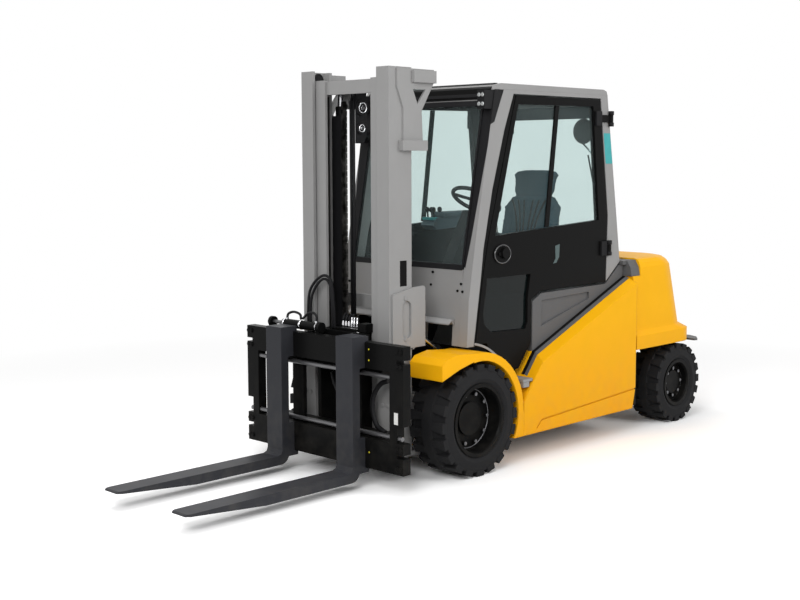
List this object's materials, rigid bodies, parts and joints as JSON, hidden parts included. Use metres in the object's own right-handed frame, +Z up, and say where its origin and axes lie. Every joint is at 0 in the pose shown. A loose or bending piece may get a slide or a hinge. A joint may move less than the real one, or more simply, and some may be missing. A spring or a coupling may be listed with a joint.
{
  "type": "counterbalance forklift",
  "caption": "Four-wheel electric counterbalance forklift with a closed cab, a two-stage lift mast and a side shifter with adjustable forks",
  "frame": {"origin": "Middle of the footprint at floor height.", "axes": "-Y is forward (fork tips), +X is the driver's left, +Z is up."},
  "size_m": [1.424, 4.65, 2.514],
  "materials": {
    "yellow_paint": "satin amber yellow",
    "silver_paint": "satin silver",
    "grey_paint": "satin mid grey",
    "black_paint": "satin black",
    "fork_steel": "dark slate, worn",
    "chrome": "polished",
    "chain_steel": "oiled",
    "tyre_rubber": "matt",
    "glass": "pale green tint",
    "black_plastic": "fine grain",
    "seat_cloth": "woven blue grey"
  },
  "bodies": {
    "chassis": {"chassis_frame": "black_paint", "battery_block": "grey_paint", "drive_axle": "black_paint", "steer_axle": "black_paint", "counterweight": "yellow_paint", "rear_plate": "grey_paint", "side_panel_left": "yellow_paint", "side_panel_right": "yellow_paint", "fender_left": "yellow_paint", "fender_right": "yellow_paint", "steps": "silver_paint", "cab_side_panels": "grey_paint", "hood": "grey_paint", "cab_frame": "silver_paint", "front_cowl": "silver_paint", "roof_panel": "grey_paint", "roof_glass": "glass", "windscreen": "glass", "rear_window": "glass", "floor_plate": "black_plastic", "steering_column": "black_plastic", "seat_base": "black_plastic", "seat_cushion": "seat_cloth", "seat_back": "seat_cloth", "armrest": "black_plastic", "work_lamps": "black_plastic", "spot_lamp": "black_plastic"},
    "door_left": {"door_left": "black_paint", "door_left_glass": "glass"},
    "door_right": {"door_right": "black_paint", "door_right_glass": "glass"},
    "steering_wheel": {"steering_wheel": "black_plastic"},
    "mast_outer": {"mast_outer": "silver_paint", "lift_barrels": "black_paint"},
    "mast_inner": {"mast_inner": "silver_paint", "lift_rods": "chrome", "lift_chains": "chain_steel"},
    "carriage": {"carriage": "black_paint"},
    "side_shifter": {"side_shifter": "black_paint", "positioner_rods": "chrome"},
    "fork_left": {"fork_left": "fork_steel"},
    "tilt_barrel_left": {"tilt_barrel_left": "black_paint"},
    "tilt_rod_left": {"tilt_rod_left": "chrome"},
    "front_wheel_left": {"front_tyre_left": "tyre_rubber", "front_rim_left": "black_paint"},
    "knuckle_left": {"knuckle_left": "black_paint"},
    "rear_wheel_left": {"rear_tyre_left": "tyre_rubber", "rear_rim_left": "black_paint"},
    "fork_right": {"fork_right": "fork_steel"},
    "tilt_barrel_right": {"tilt_barrel_right": "black_paint"},
    "tilt_rod_right": {"tilt_rod_right": "chrome"},
    "front_wheel_right": {"front_tyre_right": "tyre_rubber", "front_rim_right": "black_paint"},
    "knuckle_right": {"knuckle_right": "black_paint"},
    "rear_wheel_right": {"rear_tyre_right": "tyre_rubber", "rear_rim_right": "black_paint"}
  },
  "joints": [
    {"name": "door_left_swing", "type": "hinge", "parent": "chassis", "child": "door_left", "pos_m": [0.592, 1.175, 1.3], "axis": [0, 0, 1], "range_deg": [0, 100]},
    {"name": "door_right_swing", "type": "hinge", "parent": "chassis", "child": "door_right", "pos_m": [-0.592, 1.175, 1.3], "axis": [0, 0, -1], "range_deg": [0, 100]},
    {"name": "steering_wheel_turn", "type": "hinge", "parent": "chassis", "child": "steering_wheel", "pos_m": [0, 0.43, 1.68], "axis": [0, 0.5299, 0.848], "continuous": true},
    {"name": "mast_tilt", "type": "hinge", "parent": "chassis", "child": "mast_outer", "pos_m": [0, -0.565, 0.3], "axis": [-1, 0, 0], "range_deg": [-6, 7]},
    {"name": "mast_lift", "type": "slide", "parent": "mast_outer", "child": "mast_inner", "axis": [0, 0, 1], "range_m": [0, 1.35]},
    {"name": "carriage_lift", "type": "slide", "parent": "mast_inner", "child": "carriage", "axis": [0, 0, 1], "range_m": [0, 1.35], "deforming": ["lift_chains"]},
    {"name": "side_shift", "type": "slide", "parent": "carriage", "child": "side_shifter", "axis": [1, 0, 0], "range_m": [-0.1, 0.1]},
    {"name": "fork_left_spread", "type": "slide", "parent": "side_shifter", "child": "fork_left", "axis": [1, 0, 0], "range_m": [-0.17, 0.24]},
    {"name": "fork_right_spread", "type": "slide", "parent": "side_shifter", "child": "fork_right", "axis": [-1, 0, 0], "range_m": [-0.17, 0.24]},
    {"name": "tilt_cylinder_left_swing", "type": "hinge", "parent": "chassis", "child": "tilt_barrel_left", "pos_m": [0.35, 0.005, 0.52], "axis": [-1, 0, 0], "range_deg": [-5, 6]},
    {"name": "tilt_rod_left_slide", "type": "slide", "parent": "tilt_barrel_left", "child": "tilt_rod_left", "axis": [0, -0.8273, 0.5617], "range_m": [-0.085, 0.075]},
    {"name": "tilt_cylinder_right_swing", "type": "hinge", "parent": "chassis", "child": "tilt_barrel_right", "pos_m": [-0.35, 0.005, 0.52], "axis": [-1, 0, 0], "range_deg": [-5, 6]},
    {"name": "tilt_rod_right_slide", "type": "slide", "parent": "tilt_barrel_right", "child": "tilt_rod_right", "axis": [0, -0.8273, 0.5617], "range_m": [-0.085, 0.075]},
    {"name": "front_wheel_left_spin", "type": "hinge", "parent": "chassis", "child": "front_wheel_left", "pos_m": [0.563, -0.325, 0.353], "axis": [1, 0, 0], "continuous": true},
    {"name": "steer_left", "type": "hinge", "parent": "chassis", "child": "knuckle_left", "pos_m": [0.438, 1.935, 0.295], "axis": [0, 0, 1], "range_deg": [-55, 55]},
    {"name": "rear_wheel_left_spin", "type": "hinge", "parent": "knuckle_left", "child": "rear_wheel_left", "pos_m": [0.58, 1.935, 0.295], "axis": [1, 0, 0], "continuous": true},
    {"name": "front_wheel_right_spin", "type": "hinge", "parent": "chassis", "child": "front_wheel_right", "pos_m": [-0.563, -0.325, 0.353], "axis": [1, 0, 0], "continuous": true},
    {"name": "steer_right", "type": "hinge", "parent": "chassis", "child": "knuckle_right", "pos_m": [-0.438, 1.935, 0.295], "axis": [0, 0, 1], "range_deg": [-55, 55]},
    {"name": "rear_wheel_right_spin", "type": "hinge", "parent": "knuckle_right", "child": "rear_wheel_right", "pos_m": [-0.58, 1.935, 0.295], "axis": [1, 0, 0], "continuous": true}
  ],
  "couplings": [
    {"joint": "carriage_lift", "follows": "mast_lift", "ratio": 1},
    {"joint": "fork_right_spread", "follows": "fork_left_spread", "ratio": 1},
    {"joint": "steer_right", "follows": "steer_left", "ratio": 1},
    {"joint": "tilt_cylinder_left_swing", "follows": "mast_tilt", "ratio": 0.47124},
    {"joint": "tilt_rod_left_slide", "follows": "mast_tilt", "m_per_rad": -0.50262},
    {"joint": "tilt_cylinder_right_swing", "follows": "mast_tilt", "ratio": 0.47124},
    {"joint": "tilt_rod_right_slide", "follows": "mast_tilt", "m_per_rad": -0.50262}
  ]
}
